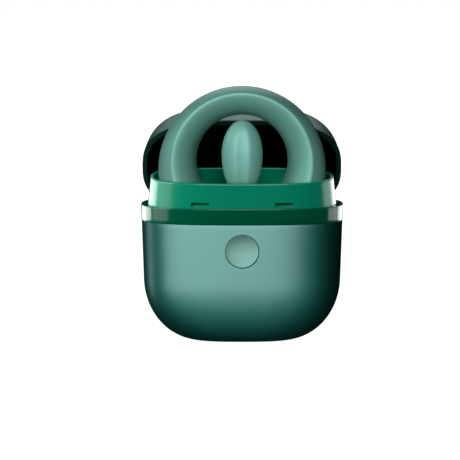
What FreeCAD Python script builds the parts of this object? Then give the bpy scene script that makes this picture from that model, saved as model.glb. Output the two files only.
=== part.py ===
"""Charging case with a tall hinged lid and a ring-shaped wearable device standing in its cradle.

Frame: +Z up, the front with the button faces -Y, origin at the centre of the flat underside.
The lid is drawn closed and then turned open about the hinge axis, which is its rest position.
"""
import FreeCAD
import Part
import math
import os

import Sketcher
from FreeCAD import Placement, Rotation, Vector

SIZES = [
    # case outline: a superellipse in plan, rounded underneath
    ("case_half_width", 38.3),
    ("case_half_depth", 18.05),
    ("plan_power", 2.8),
    ("base_half_width", 16.2),
    ("base_half_depth", 9.0),
    ("base_round_height", 23.2),
    ("base_power", 2.08),
    ("side_draft", 1.7),
    ("shell_wall", 1.5),
    # trim band and collar
    ("band_bottom", 46.0),
    ("band_top", 51.9),
    ("band_wall", 1.8),
    ("flange_inset", 1.9),
    ("flange_bottom", 43.5),
    ("flange_top", 49.2),
    ("collar_inset", 2.9),
    ("collar_taper", 0.6),
    ("collar_wall", 1.5),
    ("collar_front_top", 60.8),
    ("collar_back_top", 63.9),
    ("slot_length", 7.0),
    ("slot_width", 1.5),
    ("slot_depth", 0.9),
    ("slot_across", 16.0),
    ("slot_up", 53.15),
    ("slot_turn", 6.3),
    # lid, measured from its rim while closed
    ("lid_gap", 0.1),
    ("lid_height", 47.9),
    ("lid_top_half_width", 32.7),
    ("lid_top_half_depth", 12.35),
    ("lid_round_height", 36.1),
    ("lid_power", 1.77),
    ("lid_draft", 2.28),
    ("lid_wall", 1.2),
    ("liner_wall", 0.55),
    ("rim_height", 1.6),
    ("rim_wall", 1.8),
    # hinge
    ("hinge_back", 16.2),
    ("hinge_up", 46.5),
    ("open_angle", 84.5),
    ("hinge_pin_radius", 0.75),
    ("knuckle_radius", 1.4),
    ("leaf_half_width", 10.9),
    ("lug_inner", 11.1),
    ("lug_outer", 13.8),
    ("notch_half_width", 14.1),
    ("notch_bottom", 44.6),
    ("spring_half_width", 2.7),
    ("spring_wire_radius", 0.22),
    ("lug_depth", 3.55),
    ("lug_middle", 15.775),
    ("leaf_tab_height", 6.0),
    ("leaf_tab_thickness", 0.6),
    ("leaf_screw_across", 6.0),
    ("leaf_screw_up", 3.0),
    ("leaf_screw_radius", 0.6),
    ("leaf_screw_length", 1.9),
    # front button and its switch
    ("button_up", 35.9),
    ("button_face", 17.42),
    ("button_radius", 6.25),
    ("button_gap", 0.2),
    ("button_dish_radius", 34.0),
    ("button_dish_depth", 0.55),
    ("button_flange_radius", 7.3),
    ("button_flange_front", 15.4),
    ("button_flange_back", 14.6),
    ("plunger_end", 13.85),
    # cradle for the ring
    ("ring_up", 64.9),
    ("ring_radius", 31.7),
    ("pocket_gap", 0.4),
    ("pocket_wall", 1.6),
    ("ring_front", 8.5),
    ("ring_back", 9.0),
    ("deck_top", 48.8),
    ("deck_thickness", 1.5),
    ("deck_inset", 4.9),
    # battery, bracket and main board
    ("cell_length", 36.0),
    ("cell_width", 15.0),
    ("cell_height", 7.4),
    ("cell_bottom", 2.9),
    ("cell_forward", 1.0),
    ("boss_across", 24.0),
    ("boss_along", 6.0),
    ("boss_radius", 2.2),
    ("boss_top", 10.6),
    ("boss_pilot_radius", 0.55),
    ("boss_pilot_depth", 6),
    ("bracket_length", 54.0),
    ("bracket_width", 18.0),
    ("bracket_thickness", 1.4),
    ("board_length", 44.0),
    ("board_width", 21.0),
    ("board_shift", 1.5),
    ("board_bottom", 13.0),
    ("board_thickness", 1.0),
    ("chip_height", 0.9),
    ("cell_round", 1.2),
    ("board_screw_across", 18.0),
    ("port_width", 8.94),
    ("port_height", 3.26),
    ("port_length", 7.35),
    ("port_mouth", 15.6),
    ("port_wall", 0.3),
    ("port_clearance", 0.15),
    ("port_tongue_width", 6.7),
    ("port_tongue_thickness", 0.7),
    # charging contacts under the cradle
    ("contact_across", 4.0),
    ("contact_board_bottom", 28.6),
    ("contact_screw_across", 8.0),
    ("contact_board_length", 21.0),
    ("contact_board_width", 8.0),
    ("contact_board_thickness", 1.0),
    ("contact_boss_radius", 1.6),
    ("contact_boss_height", 4.4),
    ("sleeve_radius", 1.1),
    ("sleeve_height", 1.6),
    ("charge_pin_radius", 0.6),
    ("charge_pin_tip", 33.05),
    ("charge_pin_foot", 30.6),
    # ring device
    ("hole_up", 67.9),
    ("hole_radius", 17.3),
    ("hole_back", 5.0),
    ("crest_radius", 27.0),
    ("tongue_up", 71.9),
    ("tongue_forward", 6.5),
    ("tongue_half_width", 7.75),
    ("tongue_half_depth", 4.5),
    ("tongue_half_height", 12.9),
    ("tongue_lower_height", 16.2),
    ("stem_radius", 3.6),
    ("stem_bottom", 44.0),
    ("core_length", 29.0),
    ("core_depth", 10.0),
    ("core_bottom", 38.2),
    ("core_height", 7.5),
    ("core_back", 6.5),
    ("core_wall", 0.7),
    ("contact_post_radius", 1.5),
    ("contact_post_bottom", 33.7),
    ("motor_radius", 2.4),
    ("motor_length", 7.5),
    ("motor_start", 0.5),
    ("motor_up", 42.4),
    ("motor_back", 1.5),
    ("motor_shaft_radius", 0.4),
]

OUTLINE_POINTS = 32
UNDERSIDE_STRIPS = 16
LID_STEPS = 9
SPRING_COILS = 8
TURN_X = Rotation(Vector(0, 1, 0), 90)
TURN_Y = Rotation(Vector(1, 0, 0), -90)
TURN_Z = Rotation()

doc = FreeCAD.newDocument("ring_charging_case")
sheet = doc.addObject("Spreadsheet::Sheet", "sizes")
for row, (alias, value) in enumerate(SIZES, start=1):
    sheet.set(f"A{row}", alias)
    sheet.set(f"B{row}", str(value))
    sheet.setAlias(f"B{row}", alias)
doc.recompute()

NODES = []


def size(alias):
    """A driving dimension, read from the sheet."""
    return float(sheet.get(alias))


def cells(text):
    """An expression that names the sheet's cells, from one that names only aliases."""
    for alias, _ in SIZES:
        text = text.replace(f"<{alias}>", f"sizes.{alias}")
    return text


def bind(obj, prop, expression):
    obj.setExpression(prop, cells(str(expression)))


def node(obj, label):
    """Marks an object as a finished piece, written under its label."""
    obj.Label = label
    NODES.append(obj)
    return obj


def place(obj, base, rotation=TURN_Z):
    obj.Placement = Placement(Vector(), rotation)
    for axis, expression in zip("xyz", base):
        bind(obj, f"Placement.Base.{axis}", expression)
    return obj


# ---- Part primitives and booleans bound to the sheet ----

def block(name, length, width, height, centre_x, centre_y, bottom):
    """A box centred in X and Y on a bottom height."""
    obj = doc.addObject("Part::Box", name)
    for prop, expression in (("Length", length), ("Width", width), ("Height", height)):
        bind(obj, prop, expression)
    corner = (f"({centre_x}) - ({length}) / 2", f"({centre_y}) - ({width}) / 2", bottom)
    return place(obj, corner)


def rod(name, radius, height, base, rotation=TURN_Z):
    obj = doc.addObject("Part::Cylinder", name)
    bind(obj, "Radius", radius)
    bind(obj, "Height", height)
    return place(obj, base, rotation)


def fused(name, parts):
    obj = doc.addObject("Part::MultiFuse", name)
    obj.Shapes = parts
    return obj


def cut(name, base, tool):
    obj = doc.addObject("Part::Cut", name)
    obj.Base = base
    obj.Tool = tool
    return obj


def overlap(name, base, tool):
    obj = doc.addObject("Part::Common", name)
    obj.Base = base
    obj.Tool = tool
    return obj


def freeform(name, shape):
    obj = doc.addObject("Part::Feature", name)
    obj.Shape = shape
    obj.Placement = Placement()
    return obj


# ---- PartDesign helpers ----

def plane(body, role):
    return next(f for f in body.Origin.OriginFeatures if f.Role == role)


def new_body(name):
    return doc.addObject("PartDesign::Body", name)


def new_sketch(body, name, role, offset="0"):
    sketch = body.newObject("Sketcher::SketchObject", name)
    sketch.AttachmentSupport = (plane(body, role), [""])
    sketch.MapMode = "FlatFace"
    bind(sketch, "AttachmentOffset.Base.z", offset)
    return sketch


def fix_point(sketch, edge, point, across, up):
    """Ties a point of a sketch to two expressions, measured from the sketch's origin."""
    for kind, expression, axis in (("DistanceX", across, -2), ("DistanceY", up, -1)):
        if str(expression) == "0":
            sketch.addConstraint(Sketcher.Constraint("PointOnObject", edge, point, axis))
            continue
        value = float(sketch.evalExpression(cells(str(expression))))
        index = sketch.addConstraint(Sketcher.Constraint(kind, -1, 1, edge, point, value))
        bind(sketch, f"Constraints[{index}]", expression)


def draw_outline(sketch, points):
    """A closed outline of straight edges through points given as expressions."""
    spots = [Vector(*[float(sketch.evalExpression(cells(str(e)))) for e in point], 0) for point in points]
    count = len(points)
    first = sketch.GeometryCount
    for i in range(count):
        sketch.addGeometry(Part.LineSegment(spots[i], spots[(i + 1) % count]), False)
    for i in range(count):
        joint = Sketcher.Constraint("Coincident", first + i, 2, first + (i + 1) % count, 1)
        sketch.addConstraint(joint)
    for i, (across, up) in enumerate(points):
        fix_point(sketch, first + i, 1, across, up)


def draw_rectangle(sketch, width, height, across="0", up="0"):
    corners = [(-1, -1), (1, -1), (1, 1), (-1, 1)]
    draw_outline(sketch, [(f"({across}) + {sx} * ({width}) / 2", f"({up}) + {sy} * ({height}) / 2")
                          for sx, sy in corners])


def draw_circle(sketch, radius, across="0", up="0"):
    centre = [float(sketch.evalExpression(cells(str(e)))) for e in (across, up)]
    value = float(sketch.evalExpression(cells(str(radius))))
    edge = sketch.addGeometry(Part.Circle(Vector(*centre, 0), Vector(0, 0, 1), value), False)
    fix_point(sketch, edge, 3, across, up)
    index = sketch.addConstraint(Sketcher.Constraint("Radius", edge, value))
    bind(sketch, f"Constraints[{index}]", radius)


def pad(body, sketch, length, name, midplane=False):
    feature = body.newObject("PartDesign::Pad", name)
    feature.Profile = sketch
    feature.Midplane = midplane
    bind(feature, "Length", length)
    body.Tip = feature
    return feature


def pocket_through(body, sketch, name):
    """Cuts a sketch through the whole piece, both ways from its plane."""
    feature = body.newObject("PartDesign::Pocket", name)
    feature.Profile = sketch
    feature.Type = "ThroughAll"
    feature.Midplane = True
    body.Tip = feature
    return feature


def turn(body, sketch, name, kind="PartDesign::Revolution", axis="V_Axis"):
    feature = body.newObject(kind, name)
    feature.Profile = sketch
    feature.ReferenceAxis = (sketch, [axis])
    feature.Angle = 360
    body.Tip = feature
    return feature


# ---- the case's own curved outline ----

def superellipse(half_width, half_depth, height):
    """The closed plan outline at one height."""
    power = size("plan_power")
    points = []
    for i in range(OUTLINE_POINTS):
        angle = 2 * math.pi * i / OUTLINE_POINTS
        reach = (abs(math.cos(angle)) ** power + abs(math.sin(angle)) ** power) ** (-1 / power)
        across, along = reach * math.cos(angle), reach * math.sin(angle)
        points.append(Vector(half_width * across, half_depth * along, height))
    curve = Part.BSplineCurve()
    curve.interpolate(points, PeriodicFlag=True)
    return Part.Wire([curve.toShape()])


def body_section(height, inset):
    """Half width and half depth of the case at a height, moved in from the outside by inset."""
    rise = min(max((height - inset) / (size("base_round_height") - inset), 0), 1)
    power = size("base_power")
    swell = (1 - (1 - rise) ** power) ** (1 / power)
    draft = size("side_draft") * max(1 - height / size("band_top"), 0) * swell
    half_width = size("base_half_width") + (size("case_half_width") - inset - size("base_half_width")) * swell
    half_depth = size("base_half_depth") + (size("case_half_depth") - inset - size("base_half_depth")) * swell
    return half_width - draft, half_depth - draft


def body_solid(inset, top):
    """The case's volume up to a height, moved in by inset, with its rounded underside in narrow strips."""
    power = size("base_power")
    round_height = size("base_round_height") - inset
    heights = [inset + round_height * (1 - math.cos(0.5 * math.pi * i / UNDERSIDE_STRIPS) ** (2 / power))
               for i in range(UNDERSIDE_STRIPS + 1)]
    wires = [superellipse(*body_section(z, inset), z) for z in heights + [top]]
    return Part.makeLoft(wires, True, True)


def band_solid(inset_low, inset_high, bottom, top):
    """A straight-sided slice of the case's outline between two heights."""
    low = body_section(bottom, 0)
    high = body_section(top, 0)
    wires = [superellipse(low[0] - inset_low, low[1] - inset_low, bottom),
             superellipse(high[0] - inset_high, high[1] - inset_high, top)]
    return Part.makeLoft(wires, True, True)


def lid_solid(inset, bottom):
    """The closed lid's volume from a height up, moved in from the outside by inset."""
    rim = size("band_top") + size("lid_gap")
    top = rim + size("lid_height") - inset
    round_height = size("lid_round_height") - inset
    power = size("lid_power")
    heights = [bottom, (bottom + top - round_height) / 2]
    heights += [top - round_height * (1 - math.cos(0.5 * math.pi * i / LID_STEPS) ** (2 / power))
                for i in range(LID_STEPS, -1, -1)]
    wires = []
    for z in heights:
        rise = min(max((top - z) / round_height, 0), 1)
        swell = (1 - (1 - rise) ** power) ** (1 / power)
        draft = size("lid_draft") * (z - rim) / size("lid_height")
        flat_width = size("lid_top_half_width") - 0.5 * inset
        flat_depth = size("lid_top_half_depth") - 0.5 * inset
        half_width = flat_width + (size("case_half_width") - inset - flat_width) * swell - draft
        half_depth = flat_depth + (size("case_half_depth") - inset - flat_depth) * swell
        wires.append(superellipse(half_width, half_depth, z))
    return Part.makeLoft(wires, True, False)


def opened(obj):
    """Turns a piece of the lid from its closed place to its open place at rest."""
    hinge = Vector(0, size("hinge_back"), size("hinge_up"))
    swing = Placement(Vector(), Rotation(Vector(1, 0, 0), -size("open_angle")), hinge)
    obj.Placement = swing.multiply(obj.Placement)
    return obj


# ---- casing ----

def make_hinge_notch(name):
    """The space at the back edge that the hinge's leaf and lugs fill."""
    return block(name, "2 * <notch_half_width>", "8", "10", "0", "<case_half_depth>", "<notch_bottom>")


def make_body_shell():
    outer = freeform("body_outer", body_solid(0, size("band_bottom")))
    hollow = freeform("body_hollow", body_solid(size("shell_wall"), size("band_bottom")))
    bosses = []
    for sx in (-1, 1):
        for sy in (-1, 1):
            spot = (f"{sx} * <boss_across>", f"{sy} * <boss_along>", "<shell_wall> / 2")
            bosses.append(rod("boss", "<boss_radius>", "<boss_top> - <shell_wall> / 2", spot))
    inside_bosses = overlap("bosses_inside", fused("boss_rods", bosses), outer)
    shell = fused("shell_with_bosses", [cut("plain_shell", outer, hollow), inside_bosses])
    pilots = [rod("boss_pilot", "<boss_pilot_radius>", "<boss_pilot_depth> + 1",
                  (f"{sx} * <boss_across>", f"{sy} * <boss_along>", "<boss_top> - <boss_pilot_depth>"))
              for sx in (-1, 1) for sy in (-1, 1)]
    button_hole = rod("button_hole", "<button_radius> + <button_gap>", "8",
                      ("0", "-<case_half_depth> - 2", "<button_up>"), TURN_Y)
    port_hole = block("port_hole", "<port_width> + 2 * <port_clearance>", "6",
                      "<port_height> + 2 * <port_clearance>", "0", "<port_mouth>",
                      "<board_bottom> + <board_thickness> - <port_clearance>")
    tools = fused("shell_cuts", pilots + [button_hole, port_hole, make_hinge_notch("shell_notch")])
    node(cut("body_shell", shell, tools), "body_shell")


def make_trim_band():
    outer = freeform("band_outer", band_solid(0, 0, size("band_bottom"), size("band_top")))
    inner = freeform("band_inner", band_solid(size("band_wall"), size("band_wall"),
                                              size("band_bottom"), size("band_top")))
    # the back edge is relieved along the arc that the lid's rim swings through
    relief_block = block("relief_block", "80", "8", "8", "0", "<hinge_back> + 4", "<hinge_up>")
    relief_rod = rod("relief_rod", "<band_top> - <hinge_up> - 0.1", "90", ("-45", "<hinge_back>", "<hinge_up>"),
                     TURN_X)
    relief = cut("band_relief", relief_block, relief_rod)
    tools = fused("band_cuts", [inner, relief, make_hinge_notch("band_notch")])
    node(cut("trim_band", outer, tools), "trim_band")


def make_collar():
    high = size("collar_back_top") + 2
    inset = size("collar_inset")
    taper = size("collar_taper")
    wall = size("collar_wall")
    low = size("flange_bottom")
    tube = freeform("collar_tube", band_solid(inset, inset + taper, size("band_bottom"), high))
    flange = freeform("collar_flange", band_solid(size("flange_inset"), size("flange_inset"), low,
                                                  size("flange_top")))
    bore = freeform("collar_bore", band_solid(inset + wall, inset + wall + taper, low, high))
    # the top edge is one plane that rises to the back
    tilt = math.degrees(math.atan2(size("collar_back_top") - size("collar_front_top"),
                                   2 * (size("case_half_depth") - inset)))
    middle = (size("collar_back_top") + size("collar_front_top")) / 2
    above = block("above_collar", "100", "60", "20", "0", "0", "0")
    doc.recompute()
    above.setExpression("Placement.Base.x", None)
    above.setExpression("Placement.Base.y", None)
    above.setExpression("Placement.Base.z", None)
    slope = Placement(Vector(0, 0, middle), Rotation(Vector(1, 0, 0), tilt))
    above.Placement = slope.multiply(above.Placement)
    room = block("leaf_room", "2 * <leaf_half_width> + 0.2", "6", "12", "0",
                 "<case_half_depth> - <collar_inset> + 3", "<flange_bottom> - 1")
    barrel_room = rod("barrel_room", "<knuckle_radius> + 0.2", "2 * <leaf_half_width> + 0.2",
                      ("-<leaf_half_width> - 0.1", "<hinge_back>", "<hinge_up>"), TURN_X)
    slots = []
    for side in (-1, 1):
        slot = doc.addObject("Part::Box", "catch_slot")
        bind(slot, "Length", "<slot_length>")
        bind(slot, "Width", "6")
        bind(slot, "Height", "<slot_width>")
        face = size("case_half_depth") - inset - 0.6
        turned = Rotation(Vector(0, 0, 1), side * size("slot_turn"))
        corner = Vector(-size("slot_length") / 2, size("slot_depth") - 6, -size("slot_width") / 2)
        centre = Vector(side * size("slot_across"), -face, size("slot_up"))
        slot.Placement = Placement(centre, turned).multiply(Placement(corner, Rotation()))
        slots.append(slot)
    blank = cut("collar_blank", fused("collar_outside", [tube, flange]),
                fused("collar_cuts", [bore, above, room, barrel_room] + slots))
    lugs = []
    for side in (-1, 1):
        middle_x = f"{side} * (<lug_inner> + <lug_outer>) / 2"
        lugs.append(block("hinge_lug", "<lug_outer> - <lug_inner>", "<lug_depth>",
                          "<band_top> - 0.2 - <hinge_up>", middle_x, "<lug_middle>", "<hinge_up>"))
        start = "<lug_inner>" if side > 0 else "-<lug_outer>"
        lugs.append(rod("hinge_knuckle", "<knuckle_radius>", "<lug_outer> - <lug_inner>",
                        (start, "<hinge_back>", "<hinge_up>"), TURN_X))
    with_lugs = fused("collar_with_lugs", [blank] + lugs)
    pin_hole = rod("collar_pin_hole", "<hinge_pin_radius> + 0.01", "34", ("-17", "<hinge_back>", "<hinge_up>"),
                   TURN_X)
    node(cut("inner_collar", with_lugs, pin_hole), "inner_collar")


def make_cradle():
    inset = size("deck_inset")
    top = size("deck_top")
    deck = freeform("deck_plate", band_solid(inset, inset, top - size("deck_thickness"), top))
    outer = rod("pocket_outer", "<ring_radius> + <pocket_gap> + <pocket_wall>",
                "<ring_front> + <ring_back> + 2 * (<pocket_gap> + <pocket_wall>)",
                ("0", "-<ring_front> - <pocket_gap> - <pocket_wall>", "<ring_up>"), TURN_Y)
    above = block("above_deck", "90", "60", "80", "0", "0", "<deck_top>")
    board_top = "<contact_board_bottom> + <contact_board_thickness>"
    bosses = [rod("contact_boss", "<contact_boss_radius>", "<contact_boss_height>",
                  (f"{side} * <contact_screw_across>", "0", board_top)) for side in (-1, 1)]
    low = size("ring_up") - size("ring_radius") - 4
    outline = freeform("cradle_outline", band_solid(inset + 0.4, inset + 0.4, low, top - 0.5))
    below_deck = overlap("pocket_in_outline", cut("pocket_below_deck", outer, above), outline)
    solid = fused("cradle_blank", [deck, below_deck] + bosses)
    pocket = rod("ring_pocket", "<ring_radius> + <pocket_gap>", "<ring_front> + <ring_back> + 2 * <pocket_gap>",
                 ("0", "-<ring_front> - <pocket_gap>", "<ring_up>"), TURN_Y)
    holes = [rod("pin_hole", "<charge_pin_radius> + 0.15", "8",
                 (f"{side} * <contact_across>", "0", "<contact_board_bottom>")) for side in (-1, 1)]
    pilots = [rod("contact_pilot", "0.45", "3",
                  (f"{side} * <contact_screw_across>", "0", "<contact_board_bottom>")) for side in (-1, 1)]
    node(cut("cradle_tray", solid, fused("cradle_cuts", [pocket] + holes + pilots)), "cradle_tray")


# ---- battery, bracket, boards and port ----

def make_battery():
    cell = block("cell_block", "<cell_length>", "<cell_width>", "<cell_height>", "0", "-<cell_forward>",
                 "<cell_bottom>")
    doc.recompute()
    soft = doc.addObject("Part::Fillet", "case_battery")
    soft.Base = cell
    soft.Edges = [(i + 1, size("cell_round"), size("cell_round")) for i in range(len(cell.Shape.Edges))]
    node(soft, "case_battery")


def make_bracket():
    """Plate over the battery, with two legs beside it and four screw holes over the bosses."""
    body = new_body("battery_bracket")
    plate = new_sketch(body, "bracket_plate", "XY_Plane", "<boss_top>")
    draw_rectangle(plate, "<bracket_length>", "<bracket_width>")
    pad(body, plate, "<bracket_thickness>", "bracket_pad")
    legs = new_sketch(body, "bracket_legs", "XY_Plane", "<cell_bottom> + 2.2")
    for side in (-1, 1):
        draw_rectangle(legs, "1.2", "10", f"{side} * (<cell_length> / 2 + 1)")
    pad(body, legs, "<boss_top> - <cell_bottom> - 2.2", "bracket_leg_pad")
    stands = new_sketch(body, "board_stands", "XY_Plane", "<boss_top> + <bracket_thickness>")
    for side in (-1, 1):
        draw_circle(stands, "2", f"{side} * <board_screw_across>", "0")
    pad(body, stands, "<board_bottom> - <boss_top> - <bracket_thickness>", "stand_pad")
    holes = new_sketch(body, "bracket_holes", "XY_Plane")
    for side in (-1, 1):
        draw_circle(holes, "0.5", f"{side} * <board_screw_across>", "0")
        for row in (-1, 1):
            draw_circle(holes, "0.75", f"{side} * <boss_across>", f"{row} * <boss_along>")
    pocket_through(body, holes, "bracket_holes_cut")
    node(body, "battery_bracket")


def make_main_board():
    body = new_body("main_board")
    board = new_sketch(body, "board_outline", "XY_Plane", "<board_bottom>")
    draw_rectangle(board, "<board_length>", "<board_width>", "0", "<board_shift>")
    pad(body, board, "<board_thickness>", "board_pad")
    chips = new_sketch(body, "board_chips", "XY_Plane", "<board_bottom> + <board_thickness>")
    draw_rectangle(chips, "6", "6", "-9", "-2")
    draw_rectangle(chips, "4", "3", "9", "-3")
    draw_rectangle(chips, "3", "2.5", "9", "3")
    pad(body, chips, "<chip_height>", "chip_pad")
    holes = new_sketch(body, "board_holes", "XY_Plane")
    for side in (-1, 1):
        draw_circle(holes, "0.65", f"{side} * <board_screw_across>", "0")
    pocket_through(body, holes, "board_holes_cut")
    node(body, "main_board")


def make_port():
    """Charging socket: a formed metal shell, round at both ends, with a contact tongue inside."""
    middle = "<board_bottom> + <board_thickness> + <port_height> / 2"

    def stadium(name, shrink, start, length):
        ends = [rod(f"{name}_end", f"<port_height> / 2 - {shrink}", length,
                    (f"{side} * (<port_width> - <port_height>) / 2", start, middle), TURN_Y)
                for side in (-1, 1)]
        mid = block(f"{name}_middle", "<port_width> - <port_height>", length,
                    f"<port_height> - 2 * {shrink}", "0", f"({start}) + ({length}) / 2", f"{middle} - <port_height> / 2 + {shrink}")
        return fused(name, ends + [mid])

    outer = stadium("port_outer", "0", "<port_mouth> - <port_length>", "<port_length>")
    inner = stadium("port_inner", "<port_wall>", "<port_mouth> - <port_length> + 1", "<port_length>")
    node(cut("port_shell", outer, inner), "port_shell")
    tongue = block("port_tongue", "<port_tongue_width>", "<port_length> - 1.6", "<port_tongue_thickness>", "0",
                   "<port_mouth> - 0.6 - (<port_length> - 1.6) / 2", f"{middle} - <port_tongue_thickness> / 2")
    node(tongue, "port_tongue")


def make_contact_board():
    body = new_body("contact_board")
    outline = new_sketch(body, "contact_outline", "XY_Plane", "<contact_board_bottom>")
    draw_rectangle(outline, "<contact_board_length>", "<contact_board_width>")
    pad(body, outline, "<contact_board_thickness>", "contact_pad")
    holes = new_sketch(body, "contact_holes", "XY_Plane")
    for side in (-1, 1):
        draw_circle(holes, "0.6", f"{side} * <contact_screw_across>", "0")
    pocket_through(body, holes, "contact_holes_cut")
    node(body, "contact_board")
    top = "<contact_board_bottom> + <contact_board_thickness>"
    sleeves = []
    for side in (-1, 1):
        spot = (f"{side} * <contact_across>", "0", top)
        sleeves.append(cut("pin_sleeve", rod("sleeve_outer", "<sleeve_radius>", "<sleeve_height>", spot),
                           rod("sleeve_bore", "<charge_pin_radius> + 0.05", "2", spot)))
    node(fused("pin_sleeves", sleeves), "pin_sleeves")


def make_charge_pins():
    for side, label in ((-1, "charge_pin_left"), (1, "charge_pin_right")):
        body = new_body(label)
        profile = new_sketch(body, f"{label}_profile", "XZ_Plane")
        draw_outline(profile, [("0", "<charge_pin_foot>"), ("<charge_pin_radius>", "<charge_pin_foot>"),
                               ("<charge_pin_radius>", "<charge_pin_tip> - 0.3"),
                               ("<charge_pin_radius> - 0.25", "<charge_pin_tip>"), ("0", "<charge_pin_tip>")])
        turn(body, profile, f"{label}_turn")
        bind(body, "Placement.Base.x", f"{side} * <contact_across>")
        node(body, label)


def make_screws(label, spots, shank, length, head, head_height, top, up=1):
    """A group of alike screws whose heads sit on a height, pointing down, or up when up is -1."""
    screws = []
    for across, along in spots:
        shank_base = f"({top}) - {length}" if up > 0 else f"({top})"
        head_base = f"({top})" if up > 0 else f"({top}) - {head_height}"
        screws.append(fused("screw", [rod("screw_shank", shank, length, (across, along, shank_base)),
                                      rod("screw_head", head, head_height, (across, along, head_base))]))
    node(fused(label, screws), label)


# ---- front button ----

def make_button():
    """A round cap with a shallow dish, a flange that keeps it in, and a plunger behind."""
    face = "-<button_face>"
    cap = rod("button_cap", "<button_radius>", "<button_face> - <button_flange_back>",
              ("0", face, "<button_up>"), TURN_Y)
    flange = rod("button_flange", "<button_flange_radius>", "<button_flange_front> - <button_flange_back>",
                 ("0", "-<button_flange_front>", "<button_up>"), TURN_Y)
    plunger = rod("button_plunger", "1.4", "<button_flange_back> - <plunger_end>",
                  ("0", "-<button_flange_back>", "<button_up>"), TURN_Y)
    dish = doc.addObject("Part::Sphere", "button_dish")
    bind(dish, "Radius", "<button_dish_radius>")
    place(dish, ("0", "-<button_face> + <button_dish_depth> - <button_dish_radius>", "<button_up>"))
    node(cut("front_button", fused("button_blank", [cap, flange, plunger]), dish), "front_button")


def make_switch():
    back = "<ring_front> + <pocket_gap> + <pocket_wall>"
    board = block("button_board", "16", "0.8", "10", "0", f"-({back}) - 0.4", "<button_up> - 5")
    node(board, "button_board")
    can = block("switch_can", "4.4", "1.5", "4.4", "0", f"-({back}) - 0.8 - 0.75", "<button_up> - 2.2")
    nub = rod("switch_nub", "0.9", "0.4", ("0", f"-({back}) - 2.7", "<button_up>"), TURN_Y)
    node(fused("button_switch", [can, nub]), "button_switch")


# ---- hinge ----

def make_hinge():
    pin = rod("hinge_pin", "<hinge_pin_radius>", "2 * <lug_outer>",
              ("-<lug_outer>", "<hinge_back>", "<hinge_up>"), TURN_X)
    node(pin, "hinge_pin")
    coil_radius = size("hinge_pin_radius") + 0.1 + size("spring_wire_radius")
    half = size("spring_half_width")
    pitch = 2 * half / SPRING_COILS
    helix = Part.makeHelix(pitch, 2 * half, coil_radius)
    start = Part.Circle(Vector(coil_radius, 0, 0), Vector(0, 1, 0), size("spring_wire_radius"))
    wire = Part.Wire([start.toShape()])
    coil = Part.Wire(helix.Edges).makePipeShell([wire], True, True)
    spring = doc.addObject("Part::Feature", "hinge_spring")
    spring.Shape = coil
    spring.Placement = Placement(Vector(-half, size("hinge_back"), size("hinge_up")), TURN_X)
    node(spring, "hinge_spring")

    # leaf: a barrel round the pin, an arm that fills the notch and a tab inside the lid
    body = new_body("hinge_leaf")
    side = new_sketch(body, "leaf_arm", "YZ_Plane")
    rim = "<band_top> + <lid_gap>"
    tab_back = "<case_half_depth> - <rim_wall> - 0.35"
    tab_front = f"{tab_back} - <leaf_tab_thickness>"
    tab_top = f"{rim} + <leaf_tab_height>"
    draw_outline(side, [("<hinge_back> - 0.8", "<hinge_up>"), ("<hinge_back> + 1.4", "<hinge_up>"),
                        ("<hinge_back> + 1.6", "<hinge_up> + 1.5"), ("<hinge_back> + 1.6", rim),
                        (tab_back, rim), (tab_back, tab_top), (tab_front, tab_top), (tab_front, rim),
                        ("<hinge_back> - 0.8", f"{rim} - 1")])
    pad(body, side, "2 * <leaf_half_width>", "leaf_arm_pad", midplane=True)
    barrel = new_sketch(body, "leaf_barrel", "YZ_Plane")
    draw_circle(barrel, "<knuckle_radius>", "<hinge_back>", "<hinge_up>")
    pad(body, barrel, "2 * <leaf_half_width>", "leaf_barrel_pad", midplane=True)
    bore = new_sketch(body, "leaf_bore", "YZ_Plane")
    draw_circle(bore, "<hinge_pin_radius> + 0.05", "<hinge_back>", "<hinge_up>")
    pocket_through(body, bore, "leaf_bore_cut")
    gap = new_sketch(body, "spring_gap", "XZ_Plane")
    draw_rectangle(gap, "2 * <spring_half_width> + 0.8", "3.6", "0", "<hinge_up>")
    pocket_through(body, gap, "spring_gap_cut")
    holes = new_sketch(body, "leaf_holes", "XZ_Plane")
    for side in (-1, 1):
        draw_circle(holes, "<leaf_screw_radius> + 0.02", f"{side} * <leaf_screw_across>",
                    f"{rim} + <leaf_screw_up>")
    pocket_through(body, holes, "leaf_holes_cut")
    node(opened(body), "hinge_leaf")


def screw_space(side, radius, length, back=0.0):
    """The cylinder of a leaf screw, or of its hole, that starts at the tab's inner face or before it."""
    inner = size("case_half_depth") - size("rim_wall") - 0.35 - size("leaf_tab_thickness") - back
    up = size("band_top") + size("lid_gap") + size("leaf_screw_up")
    start = Vector(side * size("leaf_screw_across"), inner, up)
    return Part.makeCylinder(radius, length, start, Vector(0, 1, 0))


def make_leaf_screws():
    """Two flush screws through the leaf's tab into the lid's wall."""
    screws = [screw_space(side, size("leaf_screw_radius"), size("leaf_screw_length")) for side in (-1, 1)]
    group = doc.addObject("Part::Feature", "leaf_screws")
    group.Shape = Part.makeCompound(screws)
    node(opened(group), "leaf_screws")


# ---- lid ----

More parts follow.
